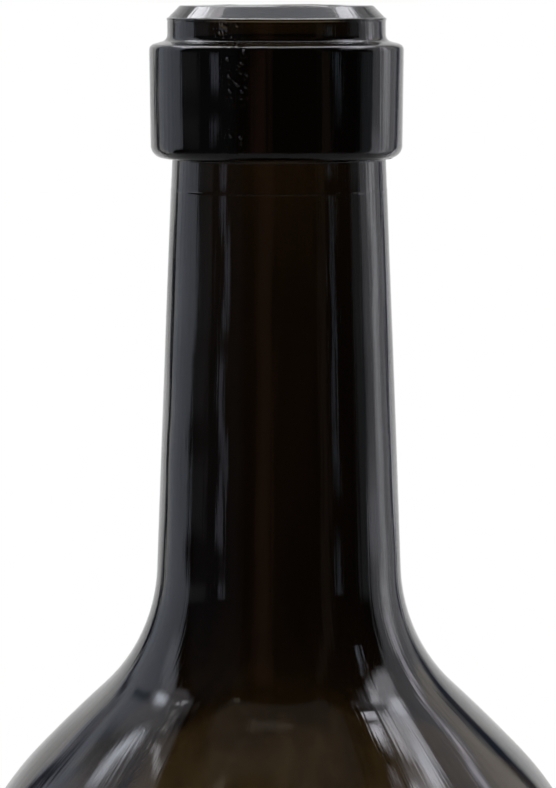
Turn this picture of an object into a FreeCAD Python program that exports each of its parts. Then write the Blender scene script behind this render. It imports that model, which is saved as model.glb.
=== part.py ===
import FreeCAD, Part
import math
import os

# Magnum wine bottle, one hollow glass solid. Millimetres, +Z up.
# The origin is on the axis at the plane that the bottle stands on.

# Body and base
total_height = 350.0
body_diameter = 99.0
body_wall = 3.5
heel_radius = 8.5
bearing_ledge = 5.0         # from the heel's curve in to the edge of the punt
bearing_rounding = 3.0
punt_depth = 25.0
punt_crown_radius = 8.0     # where the flank would meet a flat top
base_thickness = 8.0
gutter_height = 7.0         # inside, round the foot of the punt
gutter_rounding = 5.0

# Shoulder: a hollow curve out of the neck, a nearly straight face, a round curve into the body
shoulder_radius = 45.6
hollow_radius = 25.8          # outside and inside
face_top_angle = 47.2         # from the vertical
face_foot_angle = 43.3
inner_face_top_angle = 53.0   # flatter inside, so that the glass thins down to the body's wall
inner_face_foot_angle = 49.0

# Neck
neck_length = 84.3            # from the lip down to the start of the hollow curve
neck_diameter = 32.0          # just under the ring
neck_taper = 2.14             # outside, degrees from the vertical
neck_wall = 7.1               # at the foot of the neck

# Ring and lip
ring_diameter = 37.9
ring_foot_diameter = 37.5
ring_height = 17.5
ring_top_drop = 0.75        # the ring's top face falls away outwards by this much
ring_top_rounding = 1.0
ring_foot_rounding = 1.9
neck_joint_rounding = 0.3
lip_diameter = 32.5
lip_height = 5.1
lip_foot_rounding = 1.1
lip_chamfer = 1.85
lip_edge_rounding = 0.4
mouth_rounding = 0.8
bore_diameter = 20.5
bore_depth = 45.0           # the straight bore that the cork is driven into
bore_foot_rounding = 60.0


def section_point(radius, height):
    return FreeCAD.Vector(radius, 0, height)


def arc(centre, radius, from_angle, to_angle):
    ends = []
    for angle in (from_angle, (from_angle + to_angle) / 2, to_angle):
        turn = math.radians(angle)
        ends.append(centre + section_point(radius * math.cos(turn), radius * math.sin(turn)))
    return Part.Arc(*ends).toShape()


def straight(start, end):
    """The line between two points, or nothing where they meet."""
    if start.distanceToPoint(end) < 1e-6:
        return []
    return [Part.makeLine(start, end)]


def rounded_line(corners):
    """Edges through (radius, height, rounding) corners, each inner one rounded by its own radius."""
    points = [section_point(radius, height) for radius, height, _ in corners]
    edges = []
    start = points[0]
    for index in range(1, len(corners) - 1):
        corner = points[index]
        rounding = corners[index][2]
        back = (points[index - 1] - corner).normalize()
        ahead = (points[index + 1] - corner).normalize()
        half_angle = back.getAngle(ahead) / 2
        setback = rounding / math.tan(half_angle)
        to_centre = (back + ahead).normalize()
        middle = corner + to_centre * (rounding / math.sin(half_angle) - rounding)
        arc_start = corner + back * setback
        arc_end = corner + ahead * setback
        edges += straight(start, arc_start)
        edges.append(Part.Arc(arc_start, middle, arc_end).toShape())
        start = arc_end
    return edges + straight(start, points[-1])


def shoulder_curves(neck_radius, neck_angle, top_angle, foot_angle, body_radius, round_radius):
    """The three tangent arcs from the foot of the neck down to the body, and the body's top height."""
    top = math.radians(top_angle)
    foot = math.radians(foot_angle)
    hollow_centre = section_point(
        neck_radius + hollow_radius * math.cos(math.radians(neck_angle)),
        neck_foot + hollow_radius * math.sin(math.radians(neck_angle)),
    )
    face_top_radius = hollow_centre.x - hollow_radius * math.cos(top)
    face_top_height = hollow_centre.z - hollow_radius * math.sin(top)
    face_foot_radius = body_radius - round_radius * (1 - math.cos(foot))
    face_radius = (face_foot_radius - face_top_radius) / (math.cos(foot) - math.cos(top))
    face_centre = section_point(
        face_top_radius - face_radius * math.cos(top),
        face_top_height - face_radius * math.sin(top),
    )
    round_centre = section_point(
        body_radius - round_radius,
        face_centre.z + (face_radius - round_radius) * math.sin(foot),
    )
    edges = [
        arc(hollow_centre, hollow_radius, 180 + neck_angle, 180 + top_angle),
        arc(face_centre, face_radius, top_angle, foot_angle),
        arc(round_centre, round_radius, foot_angle, 0),
    ]
    return edges, round_centre.z


def crown_rounding(foot_radius, rise):
    """The rounding that starts a punt's dome on the axis, where its flank ends at the crown radius."""
    flank_angle = math.atan2(rise, foot_radius - punt_crown_radius)
    return punt_crown_radius / math.tan(flank_angle / 2)


body_radius = body_diameter / 2
inner_body_radius = body_radius - body_wall
bearing_radius = body_radius - heel_radius - bearing_ledge

ring_top = total_height - lip_height
ring_foot = ring_top - ring_height
neck_foot = total_height - neck_length
neck_foot_radius = neck_diameter / 2 + (ring_foot - neck_foot) * math.tan(math.radians(neck_taper))
inner_neck_radius = neck_foot_radius - neck_wall
bore_foot = total_height - bore_depth
inner_neck_spread = inner_neck_radius - bore_diameter / 2
inner_neck_angle = math.degrees(math.atan2(inner_neck_spread, bore_foot - neck_foot))

shoulder, body_top = shoulder_curves(
    neck_foot_radius, neck_taper, face_top_angle, face_foot_angle, body_radius, shoulder_radius
)
inner_shoulder, inner_body_top = shoulder_curves(
    inner_neck_radius,
    inner_neck_angle,
    inner_face_top_angle,
    inner_face_foot_angle,
    inner_body_radius,
    shoulder_radius - body_wall,
)

# The punt, bearing ring, heel and body, from the axis out and up
foot = rounded_line([
    (0, punt_depth, 0),
    (punt_crown_radius, punt_depth, crown_rounding(bearing_radius, punt_depth)),
    (bearing_radius, 0, bearing_rounding),
    (body_radius, 0, heel_radius),
    (body_radius, body_top, 0),
])

# The neck, ring, lip and mouth, up the outside and down the bore
finish = rounded_line([
    (neck_foot_radius, neck_foot, 0),
    (neck_diameter / 2, ring_foot, neck_joint_rounding),
    (ring_foot_diameter / 2, ring_foot, ring_foot_rounding),
    (ring_diameter / 2, ring_top - ring_top_drop, ring_top_rounding),
    (lip_diameter / 2, ring_top, lip_foot_rounding),
    (lip_diameter / 2, total_height - lip_chamfer, lip_edge_rounding),
    (lip_diameter / 2 - lip_chamfer, total_height, lip_edge_rounding),
    (bore_diameter / 2, total_height, mouth_rounding),
    (bore_diameter / 2, bore_foot, bore_foot_rounding),
    (inner_neck_radius, neck_foot, 0),
])

# The inside of the body and base, down the wall and in over the punt
inner_rise = punt_depth + base_thickness - gutter_height
hollow_foot = rounded_line([
    (inner_body_radius, inner_body_top, 0),
    (inner_body_radius, gutter_height, heel_radius - body_wall),
    (bearing_radius, gutter_height, gutter_rounding),
    (punt_crown_radius, punt_depth + base_thickness, crown_rounding(bearing_radius, inner_rise)),
    (0, punt_depth + base_thickness, 0),
])

axis = Part.makeLine(section_point(0, punt_depth + base_thickness), section_point(0, punt_depth))
edges = foot + shoulder + finish + inner_shoulder + hollow_foot + [axis]
section = Part.Face(Part.Wire(Part.__sortEdges__(edges)))
bottle = section.revolve(FreeCAD.Vector(0, 0, 0), FreeCAD.Vector(0, 0, 1), 360)

os.makedirs("parts", exist_ok=True)
bottle.exportStep("parts/glass_bottle.step")

print("glass", round(bottle.Volume / 1000, 1), "ml", bottle.ShapeType, bottle.isValid())
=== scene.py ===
import bpy
from math import atan2, cos, degrees, pi, radians, sin, tan
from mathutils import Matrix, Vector


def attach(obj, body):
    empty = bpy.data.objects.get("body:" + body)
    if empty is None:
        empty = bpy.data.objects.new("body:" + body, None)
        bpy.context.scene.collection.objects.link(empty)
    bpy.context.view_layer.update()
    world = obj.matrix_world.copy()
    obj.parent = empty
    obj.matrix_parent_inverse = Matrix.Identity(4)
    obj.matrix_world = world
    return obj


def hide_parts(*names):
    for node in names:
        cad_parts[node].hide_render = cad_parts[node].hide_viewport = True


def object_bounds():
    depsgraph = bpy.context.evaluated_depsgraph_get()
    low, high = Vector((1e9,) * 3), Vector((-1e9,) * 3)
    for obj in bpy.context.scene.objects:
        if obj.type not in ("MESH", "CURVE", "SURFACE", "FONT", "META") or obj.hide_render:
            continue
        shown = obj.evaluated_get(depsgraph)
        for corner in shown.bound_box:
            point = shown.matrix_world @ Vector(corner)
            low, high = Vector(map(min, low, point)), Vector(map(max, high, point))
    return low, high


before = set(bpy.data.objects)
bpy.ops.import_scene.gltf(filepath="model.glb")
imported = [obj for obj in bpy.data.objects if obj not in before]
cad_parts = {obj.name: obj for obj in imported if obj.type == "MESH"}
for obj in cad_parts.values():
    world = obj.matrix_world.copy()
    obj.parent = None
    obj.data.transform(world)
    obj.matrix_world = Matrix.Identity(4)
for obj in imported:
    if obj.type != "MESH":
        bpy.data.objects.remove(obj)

cadLow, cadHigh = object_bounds()
mm = 0.001


def deselectAll():
    if bpy.context.object and bpy.context.object.mode != "OBJECT":
        bpy.ops.object.mode_set(mode="OBJECT")
    bpy.ops.object.select_all(action="DESELECT")


# The bottle: one closed skin, inside and out, spun from its outline
bottle = {
    "height": cadHigh.z,
    "bodyDiameter": 99.0 * mm,
    "bodyWall": 3.5 * mm,
    "heelRadius": 8.5 * mm,
    "bearingLedge": 5.0 * mm,
    "bearingRounding": 3.0 * mm,
    "puntDepth": 25.0 * mm,
    "puntCrown": 8.0 * mm,
    "baseThickness": 8.0 * mm,
    "gutterHeight": 7.0 * mm,
    "gutterRounding": 5.0 * mm,
    "shoulderRadius": 45.6 * mm,
    "hollowRadius": 25.8 * mm,
    "faceAngles": (47.2, 43.3),
    "innerFaceAngles": (53.0, 49.0),
    "neckLength": 84.3 * mm,
    "neckDiameter": 32.0 * mm,
    "neckTaper": 2.14,
    "neckWall": 7.1 * mm,
    "partingDrop": 4.7 * mm,
    "partingHeight": 0.05 * mm,
    "partingWidth": 0.2 * mm,
    "ringDiameter": 37.9 * mm,
    "ringFootDiameter": 37.5 * mm,
    "ringHeight": 17.5 * mm,
    "ringTopDrop": 0.75 * mm,
    "ringTopRounding": 1.0 * mm,
    "ringFootRounding": 1.9 * mm,
    "neckJointRounding": 0.3 * mm,
    "lipDiameter": 32.5 * mm,
    "lipHeight": 5.1 * mm,
    "lipFootRounding": 1.1 * mm,
    "lipChamfer": 1.85 * mm,
    "lipEdgeRounding": 0.4 * mm,
    "lipBead": 0.08 * mm,
    "beadBelow": (5, 3),  # its foot and its crest, in bead heights below the lip's shoulder
    "beadOver": (2.4, 1.6),  # how far in and up it runs onto the chamfer
    "fineRounding": 0.2 * mm,
    "beadRounding": 0.1 * mm,
    "mouthRounding": 0.8 * mm,
    "boreDiameter": 20.5 * mm,
    "boreDepth": 45.0 * mm,
    "boreFootRounding": 60.0 * mm,
    "finishShift": -0.36 * mm,
    "finishMargin": 0.01 * mm,
    "turns": 224,
    "fewestSteps": 3,
    "arcStep": 7.0,
    "arcLength": 1.7 * mm,
    "lineStep": 4.0 * mm,
    "leastStep": 0.001 * mm,
    "weld": 0.002 * mm,
}


def arcPoints(centre, radius, fromAngle, toAngle):
    turn = abs(toAngle - fromAngle)
    stepsByAngle = round(turn / bottle["arcStep"])
    stepsByLength = round(radians(turn) * radius / bottle["arcLength"])
    steps = max(bottle["fewestSteps"], stepsByAngle, stepsByLength)
    angles = [radians(fromAngle + (toAngle - fromAngle) * i / steps) for i in range(steps + 1)]
    return [centre + radius * Vector((cos(a), 0, sin(a))) for a in angles]


def roundedLine(corners):
    points = [Vector((r, 0, z)) for r, z, rounding in corners]
    line = [points[0]]
    for i in range(1, len(corners) - 1):
        back = (points[i - 1] - points[i]).normalized()
        ahead = (points[i + 1] - points[i]).normalized()
        half = back.angle(ahead) / 2
        rounding = corners[i][2]
        centre = points[i] + (back + ahead).normalized() * rounding / sin(half)
        start = points[i] + back * rounding / tan(half) - centre
        end = points[i] + ahead * rounding / tan(half) - centre
        fromAngle = degrees(atan2(start.z, start.x))
        turn = (degrees(atan2(end.z, end.x)) - fromAngle + 180) % 360 - 180
        line += arcPoints(centre, rounding, fromAngle, fromAngle + turn)
    return line + [points[-1]]


def shoulderPoints(neckRadius, neckFoot, neckAngle, faceAngles, bodyRadius, roundRadius):
    hollow = bottle["hollowRadius"]
    topAngle, footAngle = faceAngles
    lean, top, foot = radians(neckAngle), radians(topAngle), radians(footAngle)
    hollowCentre = Vector((neckRadius + hollow * cos(lean), 0, neckFoot + hollow * sin(lean)))
    faceTop = hollowCentre - hollow * Vector((cos(top), 0, sin(top)))
    faceRadius = (bodyRadius - roundRadius * (1 - cos(foot)) - faceTop.x) / (cos(foot) - cos(top))
    faceCentre = faceTop - faceRadius * Vector((cos(top), 0, sin(top)))
    roundHeight = faceCentre.z + (faceRadius - roundRadius) * sin(foot)
    roundCentre = Vector((bodyRadius - roundRadius, 0, roundHeight))
    points = arcPoints(hollowCentre, hollow, 180 + neckAngle, 180 + topAngle)
    points += arcPoints(faceCentre, faceRadius, topAngle, footAngle)
    return points + arcPoints(roundCentre, roundRadius, footAngle, 0)


def evenly(points):
    # long straight runs get extra points, so that the skin can carry its waviness
    line = [points[0]]
    for point in points[1:]:
        start = line[-1]
        gap = (point - start).length
        if gap > bottle["leastStep"]:
            cuts = max(1, round(gap / bottle["lineStep"]))
            line += [start.lerp(point, i / cuts) for i in range(1, cuts + 1)]
    return line


def crown(footRadius, rise):
    # the rounding that takes up the whole flat top of the punt
    return bottle["puntCrown"] / tan(atan2(rise, footRadius - bottle["puntCrown"]) / 2)


def bottleOutline():
    b = bottle
    bodyRadius = b["bodyDiameter"] / 2
    innerBody = bodyRadius - b["bodyWall"]
    bearing = bodyRadius - b["heelRadius"] - b["bearingLedge"]
    innerTop = b["puntDepth"] + b["baseThickness"]
    lipRadius = b["lipDiameter"] / 2
    ringTop = b["height"] - b["lipHeight"]
    ringFoot = ringTop - b["ringHeight"]
    neckFoot = b["height"] - b["neckLength"]
    neckFootRadius = b["neckDiameter"] / 2 + (ringFoot - neckFoot) * tan(radians(b["neckTaper"]))
    innerNeck = neckFootRadius - b["neckWall"]
    boreFoot = b["height"] - b["boreDepth"]
    innerAngle = degrees(atan2(innerNeck - b["boreDiameter"] / 2, boreFoot - neckFoot))
    innerRound = b["shoulderRadius"] - b["bodyWall"]
    outerShoulder = shoulderPoints(
        neckFootRadius, neckFoot, b["neckTaper"], b["faceAngles"], bodyRadius, b["shoulderRadius"])
    innerShoulder = shoulderPoints(
        innerNeck, neckFoot, innerAngle, b["innerFaceAngles"], innerBody, innerRound)
    foot = roundedLine([
        (0, b["puntDepth"], 0),
        (b["puntCrown"], b["puntDepth"], crown(bearing, b["puntDepth"])),
        (bearing, 0, b["bearingRounding"]),
        (bodyRadius, 0, b["heelRadius"]),
        (bodyRadius, outerShoulder[-1].z, 0),
    ])
    # the parting line is a fine ridge and step under the ring, and the lip has a fine bead at its shoulder
    parting = ringFoot - b["partingDrop"]
    neckTop = b["neckDiameter"] / 2
    partingRadius = neckTop + b["partingDrop"] * tan(radians(b["neckTaper"]))
    step = b["partingHeight"]
    width = b["partingWidth"]
    fine = b["fineRounding"]
    bead = b["lipBead"]
    beadRounding = b["beadRounding"]
    footBelow, crestBelow = b["beadBelow"]
    beadIn, beadUp = b["beadOver"]
    shoulderOfLip = b["height"] - b["lipChamfer"]
    finish = roundedLine([
        (neckFootRadius, neckFoot, 0),
        (partingRadius, parting - width, fine),
        (partingRadius + step, parting, beadRounding),
        (partingRadius - step, parting + width, fine),
        (neckTop - step, ringFoot, b["neckJointRounding"]),
        (b["ringFootDiameter"] / 2, ringFoot, b["ringFootRounding"]),
        (b["ringDiameter"] / 2, ringTop - b["ringTopDrop"], b["ringTopRounding"]),
        (lipRadius, ringTop, b["lipFootRounding"]),
        (lipRadius, shoulderOfLip - footBelow * bead, fine),
        (lipRadius + bead, shoulderOfLip - crestBelow * bead, beadRounding),
        (lipRadius + bead, shoulderOfLip, beadRounding),
        (lipRadius - beadIn * bead, shoulderOfLip + beadUp * bead, beadRounding),
        (lipRadius - b["lipChamfer"], b["height"], b["lipEdgeRounding"]),
        (b["boreDiameter"] / 2, b["height"], b["mouthRounding"]),
        (b["boreDiameter"] / 2, boreFoot, b["boreFootRounding"]),
        (innerNeck, neckFoot, 0),
    ])
    inside = roundedLine([
        (innerBody, innerShoulder[-1].z, 0),
        (innerBody, b["gutterHeight"], b["heelRadius"] - b["bodyWall"]),
        (bearing, b["gutterHeight"], b["gutterRounding"]),
        (b["puntCrown"], innerTop, crown(bearing, innerTop - b["gutterHeight"])),
        (0, innerTop, 0),
    ])
    return evenly(foot + outerShoulder[::-1] + finish + innerShoulder + inside), ringFoot


# Slow waves left in the glass: each has a size across, a stretch down the bottle and a depth
waves = [
    {"side": "outside", "across": 16 * mm, "stretch": 3.0, "depth": 0.16 * mm, "start": (0.31, 0.12, 0.05)},
    {"side": "outside", "across": 6 * mm, "stretch": 5.0, "depth": 0.05 * mm, "start": (0.11, 0.42, 0.35)},
    {"side": "inside", "across": 7 * mm, "stretch": 7.0, "depth": 1.6 * mm, "start": (0.21, 0.22, 0.45)},
]
# They are weak in the ring and lip, and fade out toward the foot
waveFade = {
    "outsideFinish": 0.3,
    "outsideFoot": 30 * mm,
    "insideFinish": 0.25,
    "insideGrowth": 15 * mm,
    "insideFoot": 60 * mm,
}


def outsideShare(height, ringFoot):
    atFinish = waveFade["outsideFinish"] if height > ringFoot else 1
    return atFinish * min(1, height / waveFade["outsideFoot"])


def insideShare(height, ringFoot):
    belowRing = max(0, ringFoot - height) / waveFade["insideGrowth"]
    return min(1, waveFade["insideFinish"] + belowRing) * min(1, height / waveFade["insideFoot"])


def addWave(piece, wave):
    deselectAll()
    bpy.ops.object.empty_add(location=wave["start"])
    guide = bpy.context.object
    guide.scale = (wave["across"], wave["across"], wave["across"] * wave["stretch"])
    cloud = bpy.data.textures.new("cloud", "CLOUDS")
    cloud.noise_scale = 1
    cloud.noise_depth = 1
    deselectAll()
    piece.select_set(True)
    bpy.context.view_layer.objects.active = piece
    ripple = piece.modifiers.new("wave", "DISPLACE")
    ripple.texture = cloud
    ripple.texture_coords = "OBJECT"
    ripple.texture_coords_object = guide
    ripple.vertex_group = wave["side"]
    ripple.strength = wave["depth"]
    bpy.ops.object.modifier_apply(modifier="wave")
    bpy.data.objects.remove(guide)


def makeBottle():
    deselectAll()
    outline, ringFoot = bottleOutline()
    bpy.ops.mesh.primitive_plane_add(size=mm, location=outline[0])
    piece = bpy.context.object
    piece.name = "glassBottle"
    bpy.ops.object.transform_apply(location=True, rotation=True, scale=True)
    bpy.ops.object.mode_set(mode="EDIT")
    bpy.ops.mesh.select_all(action="SELECT")
    bpy.ops.mesh.merge(type="CENTER")
    here = outline[0]
    for point in outline[1:]:
        bpy.ops.mesh.extrude_region_move(TRANSFORM_OT_translate={"value": point - here})
        here = point
    bpy.ops.object.mode_set(mode="OBJECT")
    mouth = max(range(len(outline)), key=lambda i: outline[i].z)
    outside = piece.vertex_groups.new(name="outside")
    inside = piece.vertex_groups.new(name="inside")
    for i, point in enumerate(outline):
        if i > mouth:
            inside.add([i], insideShare(point.z, ringFoot), "REPLACE")
        else:
            outside.add([i], outsideShare(point.z, ringFoot), "REPLACE")
    bpy.ops.object.mode_set(mode="EDIT")
    bpy.ops.mesh.select_all(action="SELECT")
    bpy.ops.mesh.spin(steps=bottle["turns"], angle=2 * pi, center=(0, 0, 0), axis=(0, 0, 1))
    bpy.ops.mesh.select_all(action="SELECT")
    bpy.ops.mesh.remove_doubles(threshold=bottle["weld"])
    bpy.ops.mesh.normals_make_consistent(inside=False)
    bpy.ops.object.mode_set(mode="OBJECT")
    for wave in waves:
        addWave(piece, wave)
    # the ring and lip sit a little off the neck's axis
    bpy.ops.object.mode_set(mode="EDIT")
    bpy.ops.mesh.select_all(action="DESELECT")
    bpy.ops.object.mode_set(mode="OBJECT")
    for vertex in piece.data.vertices:
        vertex.select = vertex.co.z > ringFoot + bottle["finishMargin"]
    bpy.ops.object.mode_set(mode="EDIT")
    bpy.ops.transform.translate(value=(bottle["finishShift"], 0, 0))
    bpy.ops.object.mode_set(mode="OBJECT")
    bpy.ops.object.shade_smooth()
    print("bottle:", len(outline), "outline points,", len(piece.data.polygons), "faces")
    return piece


glassBottle = makeBottle()


# Helpers that the materials and the world share
def newMaterial(name):
    material = bpy.data.materials.new(name)
    material.use_nodes = True
    material.node_tree.nodes.clear()
    return material, material.node_tree


def wire(tree, socket, value):
    if isinstance(value, (int, float, tuple)):
        socket.default_value = value
    else:
        tree.links.new(value, socket)


def wireAll(tree, node, values):
    for socket, value in zip(node.inputs, values):
        wire(tree, socket, value)


def calculate(tree, operation, *values):
    node = tree.nodes.new("ShaderNodeMath")
    node.operation = operation
    wireAll(tree, node, values)
    return node.outputs[0]


def calculateVector(tree, operation, *values):
    node = tree.nodes.new("ShaderNodeVectorMath")
    node.operation = operation
    wireAll(tree, node, values)
    return node.outputs["Value" if operation == "LENGTH" else "Vector"]


def softStep(tree, value, start, end):
    # nothing at the start and one at the end
    node = tree.nodes.new("ShaderNodeMapRange")
    node.interpolation_type = "SMOOTHSTEP"
    wire(tree, node.inputs["Value"], value)
    node.inputs["From Min"].default_value = start
    node.inputs["From Max"].default_value = end
    return node.outputs["Result"]


def blend(tree, factor, first, second):
    node = tree.nodes.new("ShaderNodeMix")
    node.data_type = "RGBA"
    factorSocket, firstSocket, secondSocket = node.inputs[0], node.inputs[6], node.inputs[7]
    wire(tree, factorSocket, factor)
    wire(tree, firstSocket, first)
    wire(tree, secondSocket, second)
    return node.outputs[2]


def noise(tree, vector, scale, detail=2):
    node = tree.nodes.new("ShaderNodeTexNoise")
    node.inputs["Scale"].default_value = scale
    node.inputs["Detail"].default_value = detail
    tree.links.new(vector, node.inputs["Vector"])
    return node.outputs


def bump(tree, height, depth, under=None):
    node = tree.nodes.new("ShaderNodeBump")
    node.inputs["Distance"].default_value = depth
    tree.links.new(height, node.inputs["Height"])
    if under:
        tree.links.new(under, node.inputs["Normal"])
    return node.outputs["Normal"]


# The glass: dark brown right through, with a slight peel, slow rolls and fine upright lines in its skin
glass = {
    "refraction": 1.52,
    "tint": (0.97, 0.95, 0.92, 1),
    "throughColour": (0.334, 0.254, 0.087, 1),
    "absorption": 630.0,
    "peelSize": 2.5 * mm,
    "peelDepth": 0.004 * mm,
    "rollSize": 14 * mm,
    "rollDepth": 0.5 * mm,
    "rollDetail": 0,
    "drawLines": 26,
    "drawLength": 45 * mm,
    "drawDepth": 0.035 * mm,
    "drawDetail": 3,
    "markSize": 0.9 * mm,
    "markReach": 0.45,
    "markDepth": 0.22 * mm,
    "patchFill": 2.5,
}
# Rough chill marks: each patch has its place on the skin and its half sizes
chillMarks = [
    {"at": (-6.2, -17.6, 341.0), "half": (2.4, 4, 6.5)},
    {"at": (-6.2, -17.6, 329.5), "half": (1.9, 4, 3.5)},
    {"at": (-7.4, -14.2, 346.5), "half": (2.4, 4, 1.8)},
    {"at": (-19.3, -18.0, 240.0), "half": (1.9, 7, 6.5)},
    {"at": (14.7, -21.5, 240.0), "half": (1.5, 6, 2.6)},
]


def drawnLines(tree, place):
    # the way round the bottle, drawn out along its height
    around = calculateVector(tree, "NORMALIZE", calculateVector(tree, "MULTIPLY", place, (1, 1, 0)))
    perLength = 1 / glass["drawLength"] / glass["drawLines"]
    height = calculateVector(tree, "MULTIPLY", place, (0, 0, perLength))
    drawn = calculateVector(tree, "ADD", around, height)
    return noise(tree, drawn, glass["drawLines"], glass["drawDetail"])["Fac"]


def roughMarks(tree, place):
    marked = 0
    for mark in chillMarks:
        middle = tuple(v * mm for v in mark["at"])
        half = tuple(v * mm for v in mark["half"])
        away = calculateVector(tree, "DIVIDE", calculateVector(tree, "SUBTRACT", place, middle), half)
        reach = calculate(tree, "MINIMUM", calculateVector(tree, "LENGTH", away), 1)
        inPatch = calculate(tree, "SUBTRACT", 1, reach)
        filled = calculate(tree, "MINIMUM", calculate(tree, "MULTIPLY", inPatch, glass["patchFill"]), 1)
        marked = calculate(tree, "MAXIMUM", marked, filled)
    cells = tree.nodes.new("ShaderNodeTexVoronoi")
    cells.inputs["Scale"].default_value = 1 / glass["markSize"]
    tree.links.new(place, cells.inputs["Vector"])
    dimples = softStep(tree, cells.outputs["Distance"], glass["markReach"], 0)
    return calculate(tree, "MULTIPLY", dimples, marked)


def makeGlass():
    material, tree = newMaterial("darkGlass")
    output = tree.nodes.new("ShaderNodeOutputMaterial")
    skin = tree.nodes.new("ShaderNodeBsdfPrincipled")
    skin.inputs["Base Color"].default_value = glass["tint"]
    skin.inputs["Roughness"].default_value = 0
    skin.inputs["IOR"].default_value = glass["refraction"]
    skin.inputs["Transmission Weight"].default_value = 1
    place = tree.nodes.new("ShaderNodeTexCoord").outputs["Object"]
    peel = noise(tree, place, 1 / glass["peelSize"])["Fac"]
    roll = noise(tree, place, 1 / glass["rollSize"], glass["rollDetail"])["Fac"]
    normal = bump(tree, peel, glass["peelDepth"])
    normal = bump(tree, roll, glass["rollDepth"], normal)
    normal = bump(tree, drawnLines(tree, place), glass["drawDepth"], normal)
    normal = bump(tree, roughMarks(tree, place), glass["markDepth"], normal)
    tree.links.new(normal, skin.inputs["Normal"])
    body = tree.nodes.new("ShaderNodeVolumeAbsorption")
    body.inputs["Color"].default_value = glass["throughColour"]
    body.inputs["Density"].default_value = glass["absorption"]
    tree.links.new(skin.outputs[0], output.inputs["Surface"])
    tree.links.new(body.outputs[0], output.inputs["Volume"])
    print("glass:", len(chillMarks), "patches of chill marks")
    return material


glassBottle.data.materials.append(makeGlass())
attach(glassBottle, "root")
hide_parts("glass_bottle")

# The studio: a pale floor that fades out into white, and a room that lights the bottle evenly
studio = {
    "floorColour": (0.86, 0.86, 0.85, 1),
    "floorMirrored": (0.28, 0.28, 0.28, 1),
    "floorRadius": 1.05,
    "floorSides": 96,
    "fadeFrom": 0.35,
    "fadeTo": 0.95,
    "backdropLight": 0.85,
    "roomLight": 0.6,
    "unlit": (0.012, 0.010, 0.010),
    "wobble": 0.8,
    "wobbleScale": 11,
    "foldMiddle": (0, 27),
    "nearlyNothing": 0.0001,
}
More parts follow.
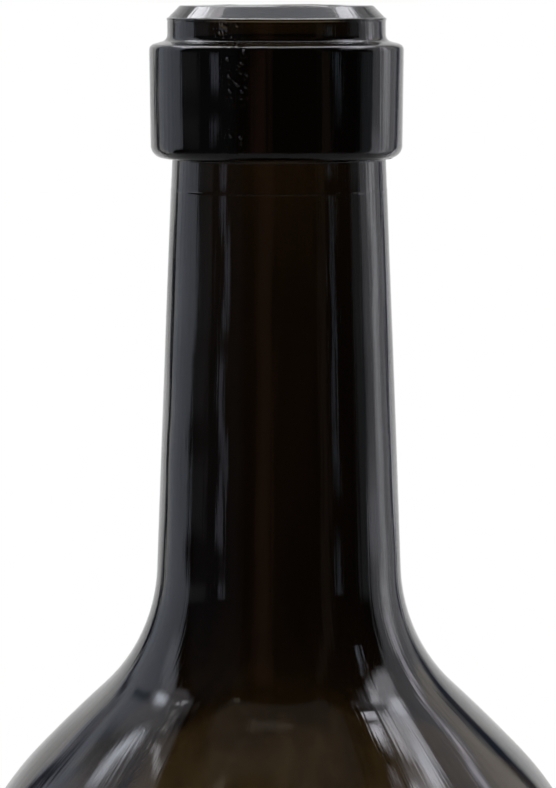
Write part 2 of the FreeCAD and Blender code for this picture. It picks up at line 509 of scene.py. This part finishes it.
# Reflections see soft panels all round, each painted over those before it. A panel has spans in degrees:
# turn round from straight behind, rise from level, lean back and side from straight up. Or it has a place
# and half sizes on the chart of the sky, in degrees across and back from straight up, as a box or an oval.
# Reach is the distance on that chart from the middle of the fold.
panels = {
    "darkRoom": {"turn": (-200, 200), "rise": (-95, 62), "soft": 8, "colour": (0.020, 0.016, 0.014)},
    "warmDoor": {"turn": (-173, -158), "rise": (-40, 60), "soft": 6, "colour": (0.11, 0.062, 0.045)},
    "greyPost": {"turn": (130, 138), "rise": (-40, 55), "soft": 3, "colour": (0.09, 0.07, 0.055)},
    "leftHaze": {"turn": (-142, -90), "rise": (-40, 60), "soft": 6, "colour": (0.045, 0.045, 0.05)},
    "leftEdge": {"turn": (-106, -82), "rise": (-4, 3), "soft": 2, "colour": (0.13, 0.13, 0.14)},
    "leftPost": {"turn": (-125.5, -119.5), "rise": (-3.6, 3), "soft": 1.3, "colour": (0.50, 0.52, 0.63)},
    "rightPost": {"turn": (119.5, 125), "rise": (-3.6, 3), "soft": 1.3, "colour": (0.25, 0.30, 0.36)},
    "ceiling": {"rise": (66, 95), "lean": (-14.5, 60), "soft": 2, "colour": (0.13, 0.12, 0.115)},
    "ceilingEdge": {
        "rise": (66, 95), "side": (-9, 9), "reach": (0, 33.9), "soft": 0.4,
        "colour": (0.36, 0.32, 0.28),
    },
    "ceilingArc": {
        "at": (-14, -9.4), "size": (5, 0.4), "angle": 31, "soft": 0.8,
        "colour": (0.30, 0.27, 0.23),
    },
    "ceilingHook": {"at": (-17.8, -13), "oval": (1.6, 1.4), "soft": 0.8, "colour": (0.5, 0.46, 0.38)},
    "canopy": {"reach": (0, 31.2), "soft": 1.2, "colour": (1.9, 1.95, 2.1)},
    "overheadBox": {
        "at": (0, 31), "size": (33, 16), "reach": (0, 31.2), "soft": 1.5,
        "colour": (4.5, 4.4, 4.5),
    },
    "backdrop": {"turn": (-60, 60), "rise": (-95, 44), "soft": 3, "colour": (0.80, 0.80, 0.80)},
    "leftWall": {"at": (-66, 35), "size": (31, 25.5), "angle": 6, "soft": 2.2, "colour": (0.60, 0.64, 0.74)},
    "leftShelf": {"at": (-56, 18), "oval": (14, 6), "soft": 3, "colour": (1.05, 1.1, 1.25)},
    "leftLow": {"at": (-38, 10.5), "oval": (6, 7), "soft": 2, "colour": (0.55, 0.55, 0.6)},
    "rightSide": {"turn": (38, 98), "rise": (-30, 4), "soft": 4, "colour": (0.15, 0.16, 0.17)},
    "rightWall": {"turn": (38, 83), "rise": (-30, 56), "soft": 4, "colour": (0.58, 0.58, 0.62)},
    "rightLight": {"turn": (57, 70), "rise": (-30, 20), "soft": 4, "colour": (1.45, 1.47, 1.55)},
    "rightLightTop": {"turn": (61, 67), "rise": (-3, 20), "soft": 3, "colour": (2.0, 2.0, 2.1)},
    "rightLightLow": {"turn": (66, 83), "rise": (-30, -4.4), "soft": 1.4, "colour": (1.0, 1.0, 1.1)},
    "warmWall": {"at": (44, 50), "oval": (9, 8), "soft": 2, "colour": (0.84, 0.79, 0.74)},
    "leftSlot": {"turn": (-43.5, -36), "rise": (-30, 9), "soft": 1.2, "colour": (0.05, 0.05, 0.06)},
    "rightSlot": {"turn": (36, 41.5), "rise": (-30, 2), "soft": 1.2, "colour": (0.10, 0.10, 0.13)},
    "rightFrame": {"turn": (31, 34.5), "rise": (-30, 4), "soft": 1.2, "colour": (1.25, 1.25, 1.35)},
    "leftGap": {
        "at": (-50, 62.5), "oval": (18, 3.6), "angle": -34, "soft": 2.4,
        "colour": (0.06, 0.06, 0.08),
    },
    "rightGap": {"at": (42, 65), "oval": (19, 6), "angle": 40, "soft": 4, "colour": (0.06, 0.07, 0.10)},
    "leftShade": {"at": (-42.6, 35.5), "size": (1.6, 7.5), "soft": 2.2, "colour": (0.20, 0.24, 0.30)},
    "leftLamp": {
        "at": (-41.6, 22.2), "oval": (2.7, 3.6), "angle": 20, "soft": 2.5,
        "colour": (4.6, 4.9, 5.5),
    },
    "leftSpark": {
        "at": (-36.2, 9.3), "size": (0.6, 3.2), "angle": 8, "soft": 0.9,
        "colour": (3.5, 3.5, 3.7),
    },
    "leftTail": {"at": (-34.2, 14.6), "size": (0.9, 0.5), "soft": 0.7, "colour": (2.2, 2.2, 2.1)},
    "rightGlow": {"at": (45.0, 7), "oval": (9, 9), "soft": 4, "colour": (2.4, 2.4, 2.6)},
    "rightLampFar": {
        "at": (58, 35.5), "size": (18, 2.0), "angle": -12, "soft": 2,
        "colour": (2.7, 2.6, 2.9),
    },
    "rightLamp": {
        "at": (39.4, 17.5), "oval": (3.4, 4.4), "angle": 10, "soft": 1.8,
        "colour": (5.4, 5.5, 6.0),
    },
    "rightEdge": {
        "at": (39.6, 4.3), "size": (5.0, 1.2), "angle": -35, "soft": 0.9,
        "colour": (4.6, 4.6, 4.9),
    },
    "rightRidge": {
        "at": (39.5, 14.2), "size": (5, 0.7), "angle": -2, "soft": 0.8,
        "colour": (3.6, 3.6, 3.9),
    },
    "rightPane": {"at": (34.2, 14.8), "size": (1.0, 2.6), "angle": -12, "soft": 1.3, "colour": (5, 5, 5.4)},
    "rightBlob": {
        "at": (30.9, 9.1), "size": (0.45, 1.7), "angle": -24, "soft": 0.9,
        "colour": (10.0, 10.0, 11.0),
    },
    "rightLine": {
        "at": (31.6, 3.0), "size": (0.2, 2.6), "angle": 18, "soft": 0.5,
        "colour": (2.8, 2.7, 3.0),
    },
    "rightStrip": {
        "at": (52.9, -14.3), "size": (10, 0.7), "angle": -40, "soft": 1.0,
        "colour": (1.4, 1.6, 1.9),
    },
    "leftBeam": {
        "at": (-32.0, 34), "oval": (5, 10), "reach": (0, 36.3), "soft": 1.8,
        "colour": (8.0, 8.0, 8.4),
    },
    "rightBeam": {
        "at": (31.6, 28.5), "oval": (4.2, 10), "reach": (0, 35.3), "soft": 1.8,
        "colour": (7.6, 7.6, 8.0),
    },
}


def makeFloor():
    deselectAll()
    bpy.ops.mesh.primitive_circle_add(
        vertices=studio["floorSides"], radius=studio["floorRadius"], fill_type="TRIFAN", location=(0, 0, 0))
    floor = bpy.context.object
    floor.name = "floor"
    material, tree = newMaterial("paleFloor")
    output = tree.nodes.new("ShaderNodeOutputMaterial")
    place = tree.nodes.new("ShaderNodeTexCoord").outputs["Object"]
    pale = tree.nodes.new("ShaderNodeBsdfDiffuse")
    clear = tree.nodes.new("ShaderNodeBsdfTransparent")
    mix = tree.nodes.new("ShaderNodeMixShader")
    path = tree.nodes.new("ShaderNodeLightPath")
    # darker where the bottle mirrors it, but not where it is seen through the glass
    mirrored = calculate(tree, "SUBTRACT", path.outputs["Is Glossy Ray"], path.outputs["Is Transmission Ray"])
    mirrored.node.use_clamp = True
    shade = blend(tree, mirrored, studio["floorColour"], studio["floorMirrored"])
    tree.links.new(shade, pale.inputs["Color"])
    fromMiddle = calculateVector(tree, "LENGTH", place)
    fade = softStep(tree, fromMiddle, studio["fadeFrom"], studio["fadeTo"])
    tree.links.new(fade, mix.inputs["Fac"])
    tree.links.new(pale.outputs[0], mix.inputs[1])
    tree.links.new(clear.outputs[0], mix.inputs[2])
    tree.links.new(mix.outputs[0], output.inputs["Surface"])
    floor.data.materials.append(material)
    print("floor:", studio["floorRadius"], "m to its edge")


# Two softboxes light the floor and the bottle, and neither is seen or mirrored
softboxes = {
    "leftSoftbox": {
        "azimuth": -66,
        "distance": 1.0,
        "width": 0.85,
        "low": 0.10,
        "high": 1.33,
        "radiance": 0.8,
        "colour": (0.80, 0.88, 1.0),
    },
    "rightSoftbox": {
        "azimuth": 71,
        "distance": 1.0,
        "width": 1.3,
        "low": 0.10,
        "high": 1.9,
        "radiance": 1.0,
        "colour": (0.92, 0.96, 1.0),
    },
}


def makeSoftbox(name, box):
    height = box["high"] - box["low"]
    data = bpy.data.lights.new(name, "AREA")
    data.shape = "RECTANGLE"
    data.size = box["width"]
    data.size_y = height
    data.energy = box["radiance"] * pi * box["width"] * height
    data.color = box["colour"]
    light = bpy.data.objects.new(name, data)
    bpy.context.scene.collection.objects.link(light)
    azimuth = radians(box["azimuth"])
    toward = Vector((sin(azimuth), cos(azimuth), 0))
    light.location = toward * box["distance"] + Vector((0, 0, (box["low"] + box["high"]) / 2))
    light.rotation_euler = toward.to_track_quat("Z", "Y").to_euler()
    light.visible_camera = False
    light.visible_glossy = False
    light.visible_transmission = False


def window(tree, value, start, end, soft):
    # one inside the span and nothing outside it, with soft edges
    opening = softStep(tree, value, start - soft, start + soft)
    closing = softStep(tree, value, end + soft, end - soft)
    return calculate(tree, "MULTIPLY", opening, closing)


def parts(tree, vector):
    node = tree.nodes.new("ShaderNodeSeparateXYZ")
    tree.links.new(vector, node.inputs[0])
    return node.outputs


def skyChart(tree, place, rise):
    # degrees across and back from straight up, with a slight wobble so that no edge is ruled
    x, y = parts(tree, place)[:2]
    fromTop = calculate(tree, "SUBTRACT", 90, rise)
    squares = [calculate(tree, "MULTIPLY", value, value) for value in (x, y)]
    level = calculate(tree, "SQRT", calculate(tree, "ADD", *squares))
    level = calculate(tree, "MAXIMUM", level, studio["nearlyNothing"])
    stretch = calculate(tree, "DIVIDE", fromTop, level)
    wobbleX, wobbleY = parts(tree, noise(tree, place, studio["wobbleScale"])["Color"])[:2]
    chart = tree.nodes.new("ShaderNodeCombineXYZ")
    for socket, value, shake in ((chart.inputs[0], x, wobbleX), (chart.inputs[1], y, wobbleY)):
        drift = calculate(tree, "MULTIPLY", calculate(tree, "SUBTRACT", shake, 0.5), 2 * studio["wobble"])
        wire(tree, socket, calculate(tree, "ADD", calculate(tree, "MULTIPLY", value, stretch), drift))
    return chart.outputs[0]


def chartShape(tree, chart, panel):
    near = tree.nodes.new("ShaderNodeMapping")
    near.vector_type = "TEXTURE"
    tree.links.new(chart, near.inputs["Vector"])
    near.inputs["Location"].default_value = (*panel["at"], 0)
    near.inputs["Rotation"].default_value = (0, 0, radians(panel.get("angle", 0)))
    if "oval" in panel:
        near.inputs["Scale"].default_value = (*panel["oval"], 1)
        soft = panel["soft"] / min(panel["oval"])
        fromMiddle = calculateVector(tree, "LENGTH", near.outputs[0])
        return softStep(tree, fromMiddle, 1 + soft, 1 - soft)
    across, back = parts(tree, near.outputs[0])[:2]
    halfAcross, halfBack = panel["size"]
    inAcross = window(tree, across, -halfAcross, halfAcross, panel["soft"])
    inBack = window(tree, back, -halfBack, halfBack, panel["soft"])
    return calculate(tree, "MULTIPLY", inAcross, inBack)


def grey(level):
    return (level, level, level, 1)


def makeWorld():
    world = bpy.data.worlds.new("studio")
    bpy.context.scene.world = world
    world.use_nodes = True
    tree = world.node_tree
    tree.nodes.clear()
    place = tree.nodes.new("ShaderNodeTexCoord").outputs["Generated"]
    x, y, z = parts(tree, place)
    spans = {
        "turn": calculate(tree, "DEGREES", calculate(tree, "ARCTAN2", x, y)),
        "rise": calculate(tree, "DEGREES", calculate(tree, "ARCSINE", z)),
        "lean": calculate(tree, "DEGREES", calculate(tree, "ARCTAN2", y, z)),
        "side": calculate(tree, "DEGREES", calculate(tree, "ARCTAN2", x, z)),
    }
    chart = skyChart(tree, place, spans["rise"])
    away = calculateVector(tree, "SUBTRACT", chart, (*studio["foldMiddle"], 0))
    spans["reach"] = calculateVector(tree, "LENGTH", away)
    shown = (*studio["unlit"], 1)
    for panel in panels.values():
        factor = 1
        for key, value in spans.items():
            if key in panel:
                factor = calculate(tree, "MULTIPLY", factor, window(tree, value, *panel[key], panel["soft"]))
        if "at" in panel:
            factor = calculate(tree, "MULTIPLY", factor, chartShape(tree, chart, panel))
        shown = blend(tree, factor, shown, (*panel["colour"], 1))
    # reflections see the panels, all other light comes from an even room, and the camera sees white
    path = tree.nodes.new("ShaderNodeLightPath")
    shown = blend(tree, path.outputs["Is Glossy Ray"], grey(studio["roomLight"]), shown)
    shown = blend(tree, path.outputs["Is Transmission Ray"], shown, grey(studio["backdropLight"]))
    shown = blend(tree, path.outputs["Is Camera Ray"], shown, grey(1))
    output = tree.nodes.new("ShaderNodeOutputWorld")
    light = tree.nodes.new("ShaderNodeBackground")
    tree.links.new(shown, light.inputs["Color"])
    tree.links.new(light.outputs[0], output.inputs["Surface"])
    print("world:", len(panels), "panels")


# The camera stands just above the mouth's level and looks slightly down at the neck
view = {
    "sensor": 36,
    "lens": 192.9,
    "near": 0.01,
    "far": 20,
    "place": (-0.00013, -0.630, 0.3566),
    "aim": (-0.00013, 0, 0.291965),
}


def makeCamera():
    data = bpy.data.cameras.new("camera")
    data.sensor_width = view["sensor"]
    data.lens = view["lens"]
    data.clip_start = view["near"]
    data.clip_end = view["far"]
    camera = bpy.data.objects.new("camera", data)
    bpy.context.scene.collection.objects.link(camera)
    camera.location = view["place"]
    lookAlong = Vector(view["aim"]) - camera.location
    camera.rotation_euler = lookAlong.to_track_quat("-Z", "Y").to_euler()
    bpy.context.scene.camera = camera
    print("camera:", view["lens"], "mm lens")


makeFloor()
for boxName, box in softboxes.items():
    makeSoftbox(boxName, box)
makeWorld()
makeCamera()
bpy.context.scene.view_settings.view_transform = "Standard"
